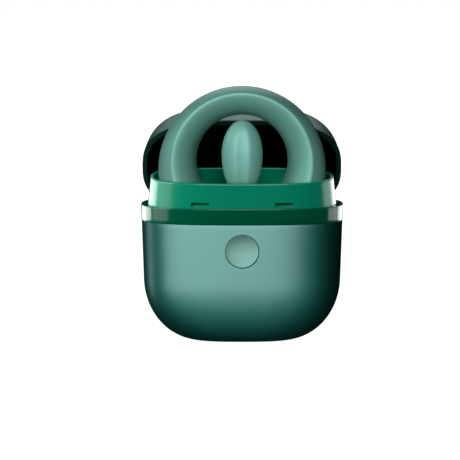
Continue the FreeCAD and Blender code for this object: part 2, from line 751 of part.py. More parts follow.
def make_lid():
    rim = size("band_top") + size("lid_gap")
    shell_start = rim + size("rim_height")
    wall = size("lid_wall")
    liner = wall + 0.05
    radius = size("leaf_screw_radius")
    screw_holes = [screw_space(side, radius + 0.02, 4, 0.45) for side in (-1, 1)]
    blind = [screw_space(side, radius + 0.01, size("leaf_screw_length") + 0.1) for side in (-1, 1)]
    shell = lid_solid(0, shell_start).cut(lid_solid(wall, shell_start - 0.001)).cut(Part.makeCompound(blind))
    node(opened(freeform("lid_shell", shell)), "lid_shell")
    skin = lid_solid(liner, shell_start).cut(lid_solid(liner + size("liner_wall"), shell_start - 0.001))
    node(opened(freeform("lid_liner", skin.cut(Part.makeCompound(screw_holes)))), "lid_liner")
    outer = band_solid(0, 0, rim, shell_start)
    ring = outer.cut(band_solid(size("rim_wall"), size("rim_wall"), rim, shell_start))
    node(opened(freeform("lid_rim", ring)), "lid_rim")


# ---- ring device ----

def make_ring_sleeve():
    """Soft ring: crest and hole share one centre, the outside is round about a lower one."""
    body = new_body("ring_body")
    section = new_sketch(body, "ring_section", "YZ_Plane")
    deep = "<hole_up> - <ring_radius> - 4"
    draw_outline(section, [("<ring_back>", "<hole_up> - <hole_radius> - 3"), ("<ring_back>", deep),
                           ("1 - <ring_front>", deep), ("-<ring_front> + 0.4", "<hole_up> - <crest_radius> - 2"),
                           ("-<ring_front>", "<hole_up> - <crest_radius>"),
                           ("-<ring_front> + 0.6", "<hole_up> - <crest_radius> + 2"),
                           ("-<ring_front> + 3.2", "<hole_up> - <crest_radius> + 5"),
                           ("<hole_back> - 5", "<hole_up> - <hole_radius> - 1.6"),
                           ("<hole_back>", "<hole_up> - <hole_radius>")])
    line = Part.LineSegment(Vector(-1, size("hole_up"), 0), Vector(1, size("hole_up"), 0))
    axis = section.addGeometry(line, True)
    fix_point(section, axis, 1, "-1", "<hole_up>")
    fix_point(section, axis, 2, "1", "<hole_up>")
    turn(body, section, "ring_turn", axis="Axis0")

    barrel = doc.addObject("Part::Feature", "ring_outside")
    reach = size("ring_radius")
    front = size("ring_front")
    back = size("ring_back")
    points = [Vector(0, 0, -front), Vector(reach - 3.0, 0, -front)]
    flank = Part.Arc(points[1], Vector(reach - 0.9, 0, -front * 0.65), Vector(reach, 0, -1.5)).toShape()
    rear = Part.Arc(Vector(reach, 0, -1.5), Vector(reach - 1.3, 0, back * 0.62),
                    Vector(reach - 4.5, 0, back)).toShape()
    face = Part.Face(Part.Wire([Part.makeLine(points[0], points[1]), flank, rear,
                                Part.makeLine(Vector(reach - 4.5, 0, back), Vector(0, 0, back)),
                                Part.makeLine(Vector(0, 0, back), points[0])]))
    barrel.Shape = face.revolve(Vector(), Vector(0, 0, 1), 360)
    barrel.Placement = Placement(Vector(0, 0, size("ring_up")), TURN_Y)
    ring = overlap("ring_round", body, barrel)

    def half_tongue(height):
        half = doc.addObject("Part::Ellipsoid", "tongue_half")
        bind(half, "Radius1", height)
        bind(half, "Radius2", "<tongue_half_width>")
        bind(half, "Radius3", "<tongue_half_depth>")
        half.Angle1 = 0 if height == "<tongue_half_height>" else -90
        half.Angle2 = 90 if height == "<tongue_half_height>" else 0
        return place(half, ("0", "-<tongue_forward>", "<tongue_up>"))

    stem = rod("tongue_stem", "<stem_radius>", "<tongue_up> - <stem_bottom> - 10",
               ("0", "-<tongue_forward> + 2", "<stem_bottom>"))
    tongue = fused("tongue", [half_tongue("<tongue_half_height>"), half_tongue("<tongue_lower_height>"), stem])
    core_room = block("core_room", "<core_length>", "<core_depth>", "<core_height>", "0",
                      "<core_back> - <core_depth> / 2", "<core_bottom>")
    posts = [rod("post_room", "<contact_post_radius> + 0.05", "8",
                 (f"{side} * <contact_across>", "0", "<core_bottom> - 6")) for side in (-1, 1)]
    rooms = fused("sleeve_cuts", [core_room] + posts)
    node(cut("ring_sleeve", fused("ring_and_tongue", [ring, tongue]), rooms), "ring_sleeve")


def make_ring_core():
    middle = "<core_back> - <core_depth> / 2"
    outer = block("core_outer", "<core_length>", "<core_depth>", "<core_height>", "0", middle, "<core_bottom>")
    inner = block("core_inner", "<core_length> - 2 * <core_wall>", "<core_depth> - 2 * <core_wall>",
                  "<core_height> - 2 * <core_wall>", "0", middle, "<core_bottom> + <core_wall>")
    node(cut("ring_core", outer, inner), "ring_core")
    board = block("ring_board", "26", "8", "0.8", "0", middle, "<core_bottom> + <core_wall> + 0.1")
    node(board, "ring_board")
    cell = block("ring_battery", "12", "7.6", "4.4", "-7.3", middle, "<core_bottom> + <core_wall> + 1.1")
    node(cell, "ring_battery")
    posts = [rod("ring_contact", "<contact_post_radius>", "<core_bottom> - <contact_post_bottom>",
                 (f"{side} * <contact_across>", "0", "<contact_post_bottom>"))
             for side in (-1, 1)]
    node(fused("ring_contacts", posts), "ring_contacts")


def make_motor():
    centre = ("<motor_start>", "<motor_back>", "<motor_up>")
    can = rod("motor_body", "<motor_radius>", "<motor_length>", centre, TURN_X)
    bore = rod("motor_bore", "<motor_shaft_radius> + 0.05", "<motor_length>",
               ("<motor_start> + 1", "<motor_back>", "<motor_up>"), TURN_X)
    node(cut("motor_can", can, bore), "motor_can")
    shaft = rod("motor_shaft", "<motor_shaft_radius>", "<motor_length> + 3.1",
                ("<motor_start> + 1.1", "<motor_back>", "<motor_up>"), TURN_X)
    node(shaft, "motor_shaft")
    body = new_body("eccentric_weight")
    face = new_sketch(body, "weight_face", "YZ_Plane", "<motor_start> + <motor_length> + 0.6")
    draw_circle(face, "<motor_radius> - 0.15", "<motor_back>", "<motor_up>")
    pad(body, face, "3", "weight_pad")
    cuts = new_sketch(body, "weight_cuts", "YZ_Plane")
    draw_circle(cuts, "<motor_shaft_radius>", "<motor_back>", "<motor_up>")
    draw_rectangle(cuts, "6", "3", "<motor_back>", "<motor_up> + 2.2")
    pocket_through(body, cuts, "weight_cut")
    node(body, "eccentric_weight")


def main():
    make_body_shell()
    make_trim_band()
    make_collar()
    make_cradle()
    make_battery()
    make_bracket()
    make_main_board()
    make_port()
    make_contact_board()
    make_charge_pins()
    bosses = [(f"{sx} * <boss_across>", f"{sy} * <boss_along>") for sx in (-1, 1) for sy in (-1, 1)]
    make_screws("bracket_screws", bosses, "0.5", "5", "1.3", "0.8", "<boss_top> + <bracket_thickness>")
    stands = [(f"{side} * <board_screw_across>", "0") for side in (-1, 1)]
    make_screws("board_screws", stands, "0.45", "2.2", "1.1", "0.7", "<board_bottom> + <board_thickness>")
    pilots = [(f"{side} * <contact_screw_across>", "0") for side in (-1, 1)]
    make_screws("contact_screws", pilots, "0.4", "2.8", "0.9", "0.6", "<contact_board_bottom>", up=-1)
    make_button()
    make_switch()
    make_hinge()
    make_leaf_screws()
    make_lid()
    make_ring_sleeve()
    make_ring_core()
    make_motor()
    doc.recompute()

    faults = [o.Name for o in doc.Objects if "Invalid" in o.State or "Error" in o.State]
    for piece in NODES:
        if piece.Shape.isNull() or not piece.Shape.isValid():
            faults.append(f"{piece.Label} shape")
    if faults:
        raise RuntimeError("failed objects: " + ", ".join(faults))
    os.makedirs("parts", exist_ok=True)
    for piece in NODES:
        piece.Shape.exportStep(f"parts/{piece.Label}.step")
        box = piece.Shape.optimalBoundingBox()
        print(f"{piece.Label:18s} volume {piece.Shape.Volume:9.1f} solids {len(piece.Shape.Solids)} "
              f"x {box.XMin:6.1f} {box.XMax:6.1f} y {box.YMin:6.1f} {box.YMax:6.1f} "
              f"z {box.ZMin:6.1f} {box.ZMax:6.1f}")


main()
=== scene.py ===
"""Charging case with its lid open and a ring-shaped device standing in it: shapes, finishes and studio."""
import math

import bmesh
import bpy
from mathutils import Matrix, Vector


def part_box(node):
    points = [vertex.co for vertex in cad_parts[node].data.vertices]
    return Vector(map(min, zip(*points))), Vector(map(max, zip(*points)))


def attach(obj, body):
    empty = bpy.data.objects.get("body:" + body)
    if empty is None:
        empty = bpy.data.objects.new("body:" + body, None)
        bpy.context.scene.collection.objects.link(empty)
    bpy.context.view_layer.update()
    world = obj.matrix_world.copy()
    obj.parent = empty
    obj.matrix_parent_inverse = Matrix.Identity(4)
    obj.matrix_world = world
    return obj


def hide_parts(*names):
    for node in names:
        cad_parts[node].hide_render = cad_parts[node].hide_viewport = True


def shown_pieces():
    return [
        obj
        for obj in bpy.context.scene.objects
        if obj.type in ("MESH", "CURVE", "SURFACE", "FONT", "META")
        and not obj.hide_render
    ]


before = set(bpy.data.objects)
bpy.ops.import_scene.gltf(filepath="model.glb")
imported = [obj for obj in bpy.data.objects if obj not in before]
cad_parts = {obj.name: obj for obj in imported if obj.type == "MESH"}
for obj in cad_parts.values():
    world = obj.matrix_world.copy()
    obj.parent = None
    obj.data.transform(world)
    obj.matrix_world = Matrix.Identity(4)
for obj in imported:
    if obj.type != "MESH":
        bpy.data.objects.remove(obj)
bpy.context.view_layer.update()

SCENE = bpy.context.scene
MM = 0.001
AROUND = 288

# the case's outline, in millimetres
PLAN_POWER = 2.8
CASE_HALF = (38.3, 18.05)
BASE_HALF = (16.2, 9.0)
BASE_ROUND_HEIGHT = 23.2
BASE_POWER = 2.08
SIDE_DRAFT = 1.7
SHELL_WALL = 1.5
BAND_BOTTOM, BAND_TOP, BAND_WALL = 46.0, 51.9, 1.8

# collar
COLLAR_INSET, COLLAR_TAPER, COLLAR_WALL = 2.3, 1.6, 1.45
COLLAR_FRONT_TOP, COLLAR_BACK_TOP = 60.8, 63.9
FLANGE_INSET, FLANGE_BOTTOM, FLANGE_TOP = 1.9, 43.5, 49.2
SLOT_SIZE = (7.0, 1.5, 1.2)
SLOT_ACROSS, SLOT_FACE, SLOT_UP, SLOT_TURN = 16.0, 14.7, 53.15, 6.3

# lid, drawn closed
LID_RIM = 52.0
LID_HEIGHT = 47.9
LID_TOP_HALF = (32.7, 12.35)
LID_ROUND_HEIGHT = 36.1
LID_POWER = 1.77
LID_DRAFT = 2.28
LID_WALL, LINER_WALL = 1.2, 0.55
RIM_HEIGHT, RIM_WALL = 1.6, 1.8
HINGE = Vector((0, 16.2, 46.5))
OPEN_ANGLE = 84.5
NOTCH_HALF_WIDTH, NOTCH_BOTTOM = 14.1, 44.6
LEAF_HALF_WIDTH, KNUCKLE_RADIUS, PIN_RADIUS = 10.9, 1.4, 0.75
LEAF_FRONT = 15.15
LUG_INNER, LUG_OUTER = 11.1, 13.8
LUG_FRONT, LUG_BACK = 14.0, 17.55

# button
BUTTON_UP, BUTTON_FACE, BUTTON_RADIUS, BUTTON_GAP = 35.9, 17.42, 6.25, 0.2
BUTTON_FLANGE_RADIUS, BUTTON_FLANGE = 7.3, (-15.4, -14.6)
PLUNGER_RADIUS, PLUNGER_END = 1.4, -13.85
DISH_RADIUS, DISH_DEPTH = 34.0, 0.55

# ring device
HOLE_UP, HOLE_RADIUS, HOLE_BACK = 67.9, 17.3, 5.0
CREST_RADIUS, RING_FRONT = 27.0, 8.5
RING_UP, RING_RADIUS, RING_BACK = 64.9, 31.7, 9.0
TONGUE_UP, TONGUE_FORWARD = 71.4, 6.5
TONGUE_HALF = (7.75, 4.5)
TONGUE_UPPER, TONGUE_LOWER = 12.9, 16.2


# ---- materials ----

def noise(tree, scale, detail=3.0, roughness=0.55, stretch=(1, 1, 1)):
    """Noise in the piece's own coordinates, in features per metre."""
    where = tree.nodes.new("ShaderNodeTexCoord")
    spread = tree.nodes.new("ShaderNodeMapping")
    spread.inputs["Scale"].default_value = stretch
    texture = tree.nodes.new("ShaderNodeTexNoise")
    texture.inputs["Scale"].default_value = scale
    texture.inputs["Detail"].default_value = detail
    texture.inputs["Roughness"].default_value = roughness
    tree.links.new(where.outputs["Object"], spread.inputs["Vector"])
    tree.links.new(spread.outputs["Vector"], texture.inputs["Vector"])
    return texture.outputs["Fac"]


def material(name, dark, light, rough, metallic=0.0, coat=0.0, coat_rough=0.05, coat_ior=1.5, patch=60,
             grain=1800, grain_depth=0.00001, grain_strength=0.15, specular=0.5, stretch=(1, 1, 1)):
    """A finish whose colour, roughness and surface all vary a little, from procedural noise."""
    made = bpy.data.materials.new(name)
    made.use_nodes = True
    tree = made.node_tree
    shader = tree.nodes["Principled BSDF"]
    broad = noise(tree, patch, stretch=stretch)
    fine = noise(tree, grain, detail=2.0, stretch=stretch)
    ramp = tree.nodes.new("ShaderNodeValToRGB")
    ramp.color_ramp.elements[0].position = 0.3
    ramp.color_ramp.elements[1].position = 0.7
    ramp.color_ramp.elements[0].color = (*dark, 1)
    ramp.color_ramp.elements[1].color = (*light, 1)
    tree.links.new(broad, ramp.inputs["Fac"])
    tree.links.new(ramp.outputs["Color"], shader.inputs["Base Color"])
    spread = tree.nodes.new("ShaderNodeMapRange")
    spread.inputs["To Min"].default_value = rough[0]
    spread.inputs["To Max"].default_value = rough[1]
    tree.links.new(fine, spread.inputs["Value"])
    tree.links.new(spread.outputs["Result"], shader.inputs["Roughness"])
    bump = tree.nodes.new("ShaderNodeBump")
    bump.inputs["Strength"].default_value = grain_strength
    bump.inputs["Distance"].default_value = grain_depth
    tree.links.new(fine, bump.inputs["Height"])
    tree.links.new(bump.outputs["Normal"], shader.inputs["Normal"])
    shader.inputs["Metallic"].default_value = metallic
    shader.inputs["Specular IOR Level"].default_value = specular
    shader.inputs["Coat Weight"].default_value = coat
    shader.inputs["Coat Roughness"].default_value = coat_rough
    shader.inputs["Coat IOR"].default_value = coat_ior
    return made


FINISHES = {
    "body_paint": material(
        "satin_paint", (0.0, 0.44, 0.36), (0.01, 0.48, 0.4), (0.5, 0.54),
        metallic=1.0, coat=1.0, coat_rough=0.34, coat_ior=2.6, patch=35, grain=9000,
        grain_depth=0.000004),
    "button_paint": material(
        "button_satin", (0.03, 0.34, 0.27), (0.04, 0.37, 0.3), (0.42, 0.46),
        metallic=1.0, coat=1.0, coat_rough=0.36, coat_ior=2.6, patch=60, grain=9000,
        grain_depth=0.000004),
    "lid_paint": material(
        "lid_satin", (0.04, 0.19, 0.15), (0.05, 0.21, 0.17), (0.5, 0.55),
        metallic=0.3, specular=0.2, coat=0.1, coat_rough=0.4, coat_ior=1.5, patch=35, grain=9000,
        grain_depth=0.000004),
    "leaf_paint": material(
        "leaf_satin", (0.02, 0.2, 0.16), (0.03, 0.22, 0.18), (0.38, 0.45),
        metallic=0.8, patch=80, grain=6000),
    "band_gloss": material(
        "band_lacquer", (0.0, 0.075, 0.036), (0.0, 0.085, 0.042), (0.3, 0.34),
        specular=0.0, coat=1.0, coat_rough=0.14, patch=45, grain=2500, grain_depth=0.000002),
    "collar_gloss": material(
        "collar_lacquer", (0.0, 0.19, 0.108), (0.0, 0.205, 0.118), (0.28, 0.32),
        specular=0.0, coat=1.0, coat_rough=0.22, patch=45, grain=2500, grain_depth=0.000002),
    "rim_gloss": material(
        "rim_lacquer", (0.001, 0.018, 0.014), (0.002, 0.022, 0.017), (0.4, 0.45),
        specular=0.03, coat=0.0, patch=45, grain=2500, grain_depth=0.000002),
    "liner_gloss": material(
        "liner_lacquer", (0.0006, 0.001, 0.0009), (0.001, 0.002, 0.0018), (0.16, 0.2),
        specular=0.3, coat=0.6, coat_rough=0.06, patch=60, grain=1500, grain_depth=0.000004),
    "ring_silicone": material(
        "soft_silicone", (0.15, 0.4, 0.34), (0.17, 0.43, 0.37), (0.5, 0.56),
        metallic=0.3, patch=50, grain=5000, grain_depth=0.000012, grain_strength=0.25),
    "cradle_plastic": material(
        "cradle_satin", (0.003, 0.014, 0.011), (0.004, 0.02, 0.016), (0.38, 0.48),
        patch=120, grain=6000, grain_depth=0.00002),
    "grey_plastic": material(
        "moulded_grey", (0.16, 0.165, 0.17), (0.2, 0.205, 0.21), (0.45, 0.55),
        patch=150, grain=5000, grain_depth=0.00002),
    "black_plastic": material(
        "moulded_black", (0.012, 0.012, 0.013), (0.02, 0.02, 0.021), (0.4, 0.5),
        patch=200, grain=7000, grain_depth=0.00002),
    "cell_wrap": material(
        "cell_film", (0.08, 0.1, 0.13), (0.11, 0.13, 0.17), (0.2, 0.3),
        coat=0.4, patch=90, grain=900, grain_depth=0.00004),
    "board_green": material(
        "solder_mask", (0.005, 0.07, 0.025), (0.01, 0.1, 0.035), (0.28, 0.36),
        patch=500, grain=3500, grain_depth=0.00002, coat=0.3),
    "port_steel": material(
        "formed_steel", (0.5, 0.5, 0.51), (0.6, 0.6, 0.61), (0.22, 0.32),
        metallic=1.0, patch=300, grain=3000, stretch=(1, 6, 1)),
    "screw_steel": material(
        "turned_steel", (0.48, 0.48, 0.49), (0.6, 0.6, 0.61), (0.25, 0.35),
        metallic=1.0, patch=400, grain=6000),
    "switch_steel": material(
        "pressed_steel", (0.5, 0.5, 0.5), (0.62, 0.62, 0.62), (0.28, 0.38),
        metallic=1.0, patch=300, grain=4000),
    "spring_steel": material(
        "drawn_wire", (0.4, 0.4, 0.42), (0.52, 0.52, 0.54), (0.25, 0.34),
        metallic=1.0, patch=400, grain=5000),
    "gold_brass": material(
        "gold_plating", (0.78, 0.55, 0.22), (0.86, 0.62, 0.28), (0.16, 0.24),
        metallic=1.0, patch=300, grain=4000),
    "weight_brass": material(
        "machined_brass", (0.6, 0.45, 0.2), (0.7, 0.53, 0.25), (0.25, 0.35),
        metallic=1.0, patch=300, grain=4000, stretch=(8, 1, 1)),
}


# ---- mesh helpers ----

def outline(half, height, shrink=0.0):
    """The case's superellipse outline at one height."""
    points = []
    for i in range(AROUND):
        angle = math.tau * i / AROUND
        across, along = math.cos(angle), math.sin(angle)
        reach = (abs(across) ** PLAN_POWER + abs(along) ** PLAN_POWER) ** (-1 / PLAN_POWER)
        points.append(Vector(((half[0] - shrink) * reach * across,
                              (half[1] - shrink) * reach * along, height)))
    return points


def swell_to(low, high, share):
    return low + (high - low) * share


def body_half(height, inset=0.0):
    """Half width and half depth of the case at a height, moved in from the outside."""
    rise = min(max((height - inset) / (BASE_ROUND_HEIGHT - inset), 0), 1)
    swell = (1 - (1 - rise) ** BASE_POWER) ** (1 / BASE_POWER)
    draft = SIDE_DRAFT * max(1 - height / BAND_TOP, 0) * swell
    return [swell_to(BASE_HALF[k], CASE_HALF[k] - inset, swell) - draft for k in (0, 1)]


def lid_half(height, inset=0.0):
    """Half width and half depth of the closed lid at a height, moved in from the outside."""
    top = LID_RIM + LID_HEIGHT - inset
    rise = min(max((top - height) / (LID_ROUND_HEIGHT - inset), 0), 1)
    swell = (1 - (1 - rise) ** LID_POWER) ** (1 / LID_POWER)
    draft = LID_DRAFT * (height - LID_RIM) / LID_HEIGHT
    flat = [LID_TOP_HALF[k] - 0.5 * inset for k in (0, 1)]
    return [swell_to(flat[0], CASE_HALF[0] - inset, swell) - draft,
            swell_to(flat[1], CASE_HALF[1] - inset, swell)]


def loft(loops, wrap=False):
    """Points and faces of a skin through loops, with flat ends, or with the last loop joined to the first."""
    count = len(loops[0])
    points = [p for loop in loops for p in loop]
    faces = []
    rows = len(loops) if wrap else len(loops) - 1
    for row in range(rows):
        here, there = row * count, (row + 1) % len(loops) * count
        for i in range(count):
            j = (i + 1) % count
            faces.append((here + i, here + j, there + j, there + i))
    if not wrap:
        faces.append(tuple(range(count - 1, -1, -1)))
        faces.append(tuple(range(len(points) - count, len(points))))
    return points, faces


def piece(name, skin):
    """A new mesh object from points in millimetres."""
    points, faces = skin
    mesh = bpy.data.meshes.new(name)
    mesh.from_pydata([p * MM for p in points], [], faces)
    work = bmesh.new()
    work.from_mesh(mesh)
    bmesh.ops.recalc_face_normals(work, faces=work.faces)
    work.to_mesh(mesh)
    work.free()
    made = bpy.data.objects.new(name, mesh)
    SCENE.collection.objects.link(made)
    return made


def carve(base, tools, operation="DIFFERENCE"):
    """Applies booleans to a piece and removes the tools."""
    for tool in tools:
        modifier = base.modifiers.new("cut", "BOOLEAN")
        modifier.operation = operation
        modifier.solver = "EXACT"
        modifier.object = tool
    bpy.context.view_layer.update()
    graph = bpy.context.evaluated_depsgraph_get()
    shaped = bpy.data.meshes.new_from_object(base.evaluated_get(graph))
    base.modifiers.clear()
    base.data = shaped
    for tool in tools:
        bpy.data.objects.remove(tool)
    return base


def settle(made, slot, body, *nodes, sharp=32):
    """Gives a piece smooth shading with crisp edges, its material and its body, and hides the CAD nodes it
    replaces.
    """
    mesh = made.data
    mesh.shade_smooth()
    mesh.set_sharp_from_angle(angle=math.radians(sharp))
    mesh.materials.clear()
    mesh.materials.append(FINISHES[slot])
    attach(made, body)
    if nodes:
        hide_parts(*nodes)
    return made


def rod(name, radius, start, end, segments=96):
    """A cylinder between two points."""
    direction = (end - start).normalized()
    side = direction.orthogonal().normalized()
    up = direction.cross(side)
    loops = [[at + (side * math.cos(a) + up * math.sin(a)) * radius
              for a in (math.tau * i / segments for i in range(segments))] for at in (start, end)]
    return piece(name, loft(loops))


def turned(name, profile, centre, segments=192):
    """A solid turned about an axis along Y, from a profile of (radius, y), front middle to back middle."""
    loops = [[centre + Vector((radius * math.cos(a), along, radius * math.sin(a)))
              for a in (math.tau * i / segments for i in range(segments))] for radius, along in profile]
    return piece(name, loft(loops))


def block(name, low, high, bevel=0.0, turn=0.0):
    """A box between two corners, with rounded edges, turned about its own vertical axis."""
    centre = (low + high) / 2
    half = (high - low) / 2
    work = bmesh.new()
    bmesh.ops.create_cube(work, size=2.0)
    bmesh.ops.scale(work, vec=half * MM, verts=work.verts)
    if bevel:
        bmesh.ops.bevel(work, geom=list(work.edges), offset=bevel * MM, segments=4, profile=0.5,
                        affect="EDGES")
    bmesh.ops.rotate(work, cent=(0, 0, 0), matrix=Matrix.Rotation(turn, 3, "Z"), verts=work.verts)
    bmesh.ops.translate(work, vec=centre * MM, verts=work.verts)
    mesh = bpy.data.meshes.new(name)
    work.to_mesh(mesh)
    work.free()
    made = bpy.data.objects.new(name, mesh)
    SCENE.collection.objects.link(made)
    return made


def corner(radius, steps=5):
    """A quarter circle from (0, radius) to (radius, 0): how far in and how far below the edge."""
    return [(radius * (1 - math.cos(a)), radius * (1 - math.sin(a)))
            for a in (math.pi / 2 * i / steps for i in range(steps + 1))]


def lip(low, high, wall, round_out, round_in):
    """An edge profile as (depth from the outer face, height), over the top from outside to inside."""
    outside = [(inset, high - drop) for inset, drop in corner(round_out)]
    inside = [(wall - inset, high - drop) for inset, drop in reversed(corner(round_in))]
    return [(0, low)] + outside + inside + [(wall, low)]


# ---- casing ----

def hinge_notch():
    return block("notch", Vector((-NOTCH_HALF_WIDTH, CASE_HALF[1] - 4, NOTCH_BOTTOM)),
                 Vector((NOTCH_HALF_WIDTH, CASE_HALF[1] + 4, NOTCH_BOTTOM + 10)))


def make_body_shell():
    """The satin lower casing: rounded underside, button hole, charging port and hinge notch."""
    def rounded_heights(inset, steps=30):
        tall = BASE_ROUND_HEIGHT - inset
        return [inset + tall * (1 - math.cos(math.pi / 2 * i / steps) ** (2 / BASE_POWER))
                for i in range(steps + 1)]

    straight = 14
    edge = 0.3
    start = BASE_ROUND_HEIGHT
    side = [start + (BAND_BOTTOM - edge - start) * i / straight for i in range(1, straight + 1)]
    loops = [outline([half * share for half in body_half(0)], 0) for share in (0.25, 0.6, 0.9, 0.985)]
    loops += [outline(body_half(z), z) for z in rounded_heights(0) + side]
    for inset, z in lip(BAND_BOTTOM - edge, BAND_BOTTOM, SHELL_WALL, edge, 0.1)[2:]:
        loops.append(outline(body_half(z), z, inset))
    inner = [z for z in rounded_heights(SHELL_WALL, 20) + side[::2] if z < BAND_BOTTOM - 1]
    loops += [outline(body_half(z, SHELL_WALL), z) for z in reversed(inner)]
    shell = piece("case_shell", loft(loops))
    hole_start, hole_end = -22, -12
    hole = rod("button_hole", BUTTON_RADIUS + BUTTON_GAP, Vector((0, hole_start, BUTTON_UP)),
               Vector((0, hole_end, BUTTON_UP)), 192)
    port_low, port_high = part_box("port_shell")
    clearance = 0.15
    mouth_start, mouth_end = 13.5, 21
    mouth = block("port_hole",
                  Vector((port_low.x / MM - clearance, mouth_start, port_low.z / MM - clearance)),
                  Vector((port_high.x / MM + clearance, mouth_end, port_high.z / MM + clearance)), bevel=1.3)
    carve(shell, [hole, mouth, hinge_notch()])
    settle(shell, "body_paint", "case", "body_shell")


def make_trim_band():
    """The gloss band, with its upper back edge relieved along the arc that the lid's rim swings."""
    section = [(d, BAND_BOTTOM + h) for d, h in reversed(corner(0.3))]
    section += [(0, swell_to(BAND_BOTTOM, BAND_TOP, share)) for share in (0.25, 0.5, 0.75)]
    section += lip(BAND_TOP - 0.8, BAND_TOP, BAND_WALL, 0.3, 0.25)
    section += [(BAND_WALL, BAND_BOTTOM + 2), (BAND_WALL, BAND_BOTTOM)]
    loops = [outline(body_half(z), z, inset) for inset, z in section]
    reach = BAND_TOP - HINGE.z - 0.1
    for loop in loops:
        for point in loop:
            arm = Vector((point.y - HINGE.y, point.z - HINGE.z))
            if arm.x > 0 and arm.y > 0 and arm.length > reach:
                arm *= reach / arm.length
                point.y, point.z = HINGE.y + arm.x, HINGE.z + arm.y
    band = piece("gloss_band", loft(loops, wrap=True))
    carve(band, [hinge_notch()])
    settle(band, "band_gloss", "case", "trim_band")


def make_collar():
    """The tapered inner collar: its top edge lies in one plane that rises to the back."""
    slope = (COLLAR_BACK_TOP - COLLAR_FRONT_TOP) / (2 * (CASE_HALF[1] - COLLAR_INSET))
    middle = (COLLAR_BACK_TOP + COLLAR_FRONT_TOP) / 2
    taper_top = COLLAR_BACK_TOP + 2

    def loop_at(inset, height, down=None):
        """A loop at a height, or down from the sloping top edge."""
        points = []
        low = body_half(BAND_BOTTOM)
        for point in outline([1, 1], 0):
            z = height if down is None else height - down
            lean = COLLAR_TAPER * (z - BAND_TOP) / (taper_top - BAND_TOP)
            half = [low[k] - inset - max(lean, 0) for k in (0, 1)]
            spot = Vector((point.x * half[0], point.y * half[1], 0))
            spot.z = z if down is None else middle + slope * spot.y - down
            points.append(spot)
        return points

    loops = [loop_at(FLANGE_INSET, FLANGE_BOTTOM), loop_at(FLANGE_INSET, FLANGE_TOP - 0.2),
             loop_at(FLANGE_INSET + 0.2, FLANGE_TOP), loop_at(COLLAR_INSET - 0.1, FLANGE_TOP)]
    loops += [loop_at(COLLAR_INSET, FLANGE_TOP + h) for h in (0.15, 1.0, 2.0)]
    foot = loops[-1]
    steps = 10
    under_edge = loop_at(COLLAR_INSET, middle, 0.5)
    for i in range(1, steps):
        loops.append([low.lerp(high, i / steps) for low, high in zip(foot, under_edge)])
    for inset, z in lip(middle - 0.5, middle, COLLAR_WALL, 0.4, 0.4):
        loops.append(loop_at(COLLAR_INSET + inset, middle, middle - z))
    inside = loop_at(COLLAR_INSET + COLLAR_WALL, middle, 0.9)
    bottom = loop_at(COLLAR_INSET + COLLAR_WALL, FLANGE_BOTTOM)
    loops += [[high.lerp(low, i / steps) for low, high in zip(bottom, inside)] for i in range(steps + 1)]
    collar = piece("inner_sleeve", loft(loops, wrap=True))
    room = LEAF_HALF_WIDTH + 0.1
    tools = [block("leaf_room", Vector((-room, LEAF_FRONT, FLANGE_BOTTOM - 1)),
                   Vector((room, LEAF_FRONT + 6, FLANGE_BOTTOM + 11))),
             rod("barrel_room", KNUCKLE_RADIUS + 0.2, Vector((-room, HINGE.y, HINGE.z)),
                 Vector((room, HINGE.y, HINGE.z)))]
    slot_cut = 3
    for side in (-1, 1):
        half = Vector((SLOT_SIZE[0] / 2, slot_cut, SLOT_SIZE[1] / 2))
        centre = Vector((side * SLOT_ACROSS, -SLOT_FACE + SLOT_SIZE[2] - slot_cut, SLOT_UP))
        turn = math.radians(side * SLOT_TURN)
        tools.append(block("catch_slot", centre - half, centre + half, bevel=0.12, turn=turn))
    for side in (-1, 1):
        low, high = sorted((side * LUG_INNER, side * LUG_OUTER))
        lug = block("lug", Vector((low, LUG_FRONT, HINGE.z)), Vector((high, LUG_BACK, BAND_TOP - 0.2)),
                    bevel=0.25)
        knuckle = rod("knuckle", KNUCKLE_RADIUS, Vector((low, HINGE.y, HINGE.z)),
                      Vector((high, HINGE.y, HINGE.z)))
        carve(lug, [knuckle], "UNION")
        carve(collar, [lug], "UNION")
    past_lugs = 17
    tools.append(rod("pin_hole", PIN_RADIUS + 0.01, Vector((-past_lugs, HINGE.y, HINGE.z)),
                     Vector((past_lugs, HINGE.y, HINGE.z)), 64))
    carve(collar, tools)
    settle(collar, "collar_gloss", "case", "inner_collar")


def make_button():
    """A dished cap with a rounded rim, a wide flange that keeps it in, and a plunger behind."""
    face = -BUTTON_FACE
    centre_y = face + DISH_DEPTH - DISH_RADIUS
    edge = 0.22
    dish_steps = 24
    dish = [(r, centre_y + math.sqrt(DISH_RADIUS ** 2 - r ** 2))
            for r in ((BUTTON_RADIUS - edge - 0.1) * i / dish_steps for i in range(1, dish_steps + 1))]
    rim = [(BUTTON_RADIUS - inset, face + drop) for inset, drop in reversed(corner(edge))]
    back = [(BUTTON_RADIUS, BUTTON_FLANGE[0]), (BUTTON_FLANGE_RADIUS, BUTTON_FLANGE[0]),
            (BUTTON_FLANGE_RADIUS, BUTTON_FLANGE[1]), (PLUNGER_RADIUS, BUTTON_FLANGE[1]),
            (PLUNGER_RADIUS, PLUNGER_END - 0.1), (PLUNGER_RADIUS - 0.2, PLUNGER_END), (0.2, PLUNGER_END)]
    profile = [(0.1, centre_y + DISH_RADIUS)] + dish + rim + back
    cap = turned("press_button", profile, Vector((0, 0, BUTTON_UP)))
    settle(cap, "button_paint", "button", "front_button")


# ---- lid, drawn closed and then turned open ----

OPENED = (Matrix.Translation(HINGE) @ Matrix.Rotation(-math.radians(OPEN_ANGLE), 4, "X")
          @ Matrix.Translation(-HINGE))


def open_loops(loops):
    return [[OPENED @ point for point in loop] for loop in loops]


